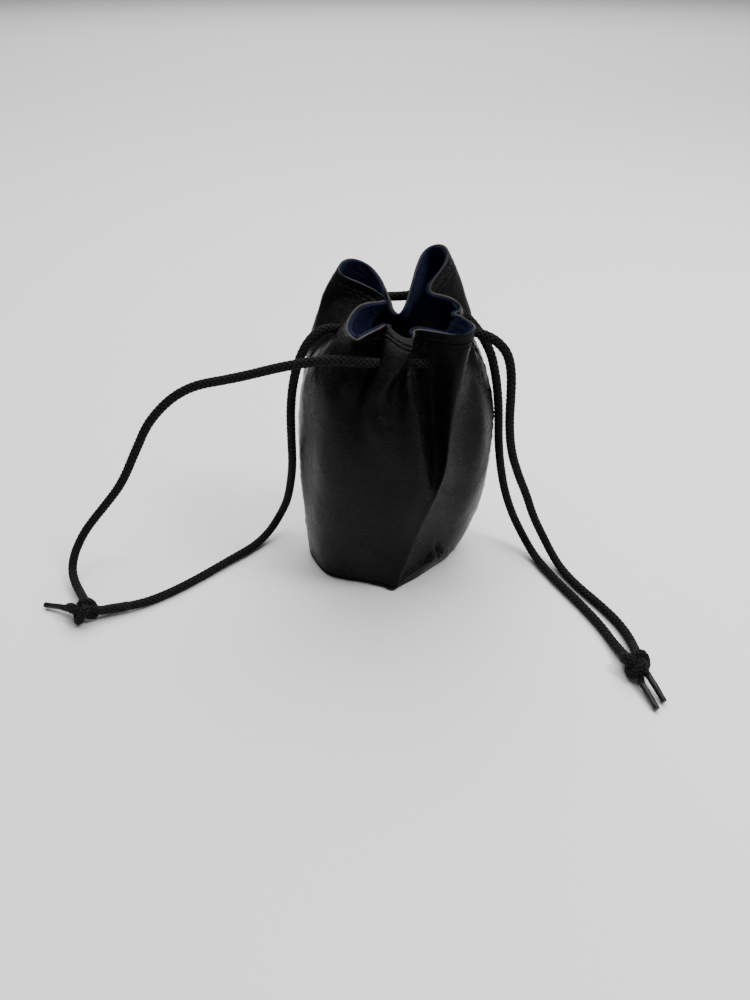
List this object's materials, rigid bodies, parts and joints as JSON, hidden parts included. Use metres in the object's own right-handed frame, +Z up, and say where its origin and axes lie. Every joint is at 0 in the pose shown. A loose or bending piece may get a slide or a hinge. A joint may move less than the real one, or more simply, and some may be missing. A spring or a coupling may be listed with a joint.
{
  "type": "treat pouch",
  "caption": "Small drawstring treat pouch in glossy leatherette with a felt lining, gathered at the neck by two knotted braided cords.",
  "frame": {"origin": "centre of the base, on the surface the pouch stands on", "axes": "+Z up out of the mouth, +X to the pouch's right side seam, -Y the front"},
  "size_m": [0.2419, 0.1266, 0.1299],
  "materials": {
    "leatherette": "glossy fine-grained black leatherette",
    "felt_lining": "matt navy felt with a raised nap",
    "thread": "black polyester sewing thread",
    "drawstring": "black tubular braid, slightly fuzzy",
    "aglet": "smoke-grey crimped film tip"
  },
  "bodies": {
    "pouch": {"base_panel": "leatherette", "front_panel": "leatherette", "rear_panel": "leatherette", "base_lining": "felt_lining", "front_lining": "felt_lining", "rear_lining": "felt_lining", "right_side_seam_stitching": "thread", "left_side_seam_stitching": "thread", "base_seam_stitching": "thread", "left_drawstring_waist": "drawstring", "right_drawstring_waist": "drawstring"},
    "front_lip": {"front_lip": "leatherette", "front_lip_lining": "felt_lining", "front_hem_stitching": "thread"},
    "rear_lip": {"rear_lip": "leatherette", "rear_lip_lining": "felt_lining", "rear_hem_stitching": "thread"},
    "left_pull": {"left_strand_front": "drawstring", "left_strand_rear": "drawstring", "left_knot": "drawstring", "left_aglet_front": "aglet", "left_aglet_rear": "aglet"},
    "right_pull": {"right_strand_front": "drawstring", "right_strand_rear": "drawstring", "right_knot": "drawstring", "right_aglet_front": "aglet", "right_aglet_rear": "aglet"}
  },
  "joints": [
    {"name": "front_lip_fold", "type": "hinge", "parent": "pouch", "child": "front_lip", "pos_m": [0, -0.0197, 0.1042], "axis": [1, 0, 0], "range_deg": [-5, 35]},
    {"name": "rear_lip_fold", "type": "hinge", "parent": "pouch", "child": "rear_lip", "pos_m": [0, 0.0192, 0.1147], "axis": [-1, 0, 0], "range_deg": [-4, 28]},
    {"name": "left_drawstring_pull", "type": "slide", "parent": "pouch", "child": "left_pull", "axis": [-0.9404, -0.3401, 0], "range_m": [-0.025, 0.0036], "deforming": ["left_strand_front", "left_strand_rear"]},
    {"name": "right_drawstring_pull", "type": "slide", "parent": "pouch", "child": "right_pull", "axis": [0.76, -0.65, 0], "range_m": [-0.025, 0.0036], "deforming": ["right_strand_front", "right_strand_rear"]}
  ],
  "couplings": [
    {"joint": "right_drawstring_pull", "follows": "left_drawstring_pull", "ratio": 1},
    {"joint": "front_lip_fold", "follows": "left_drawstring_pull", "rad_per_m": -24.2},
    {"joint": "rear_lip_fold", "follows": "left_drawstring_pull", "rad_per_m": -19.36}
  ]
}
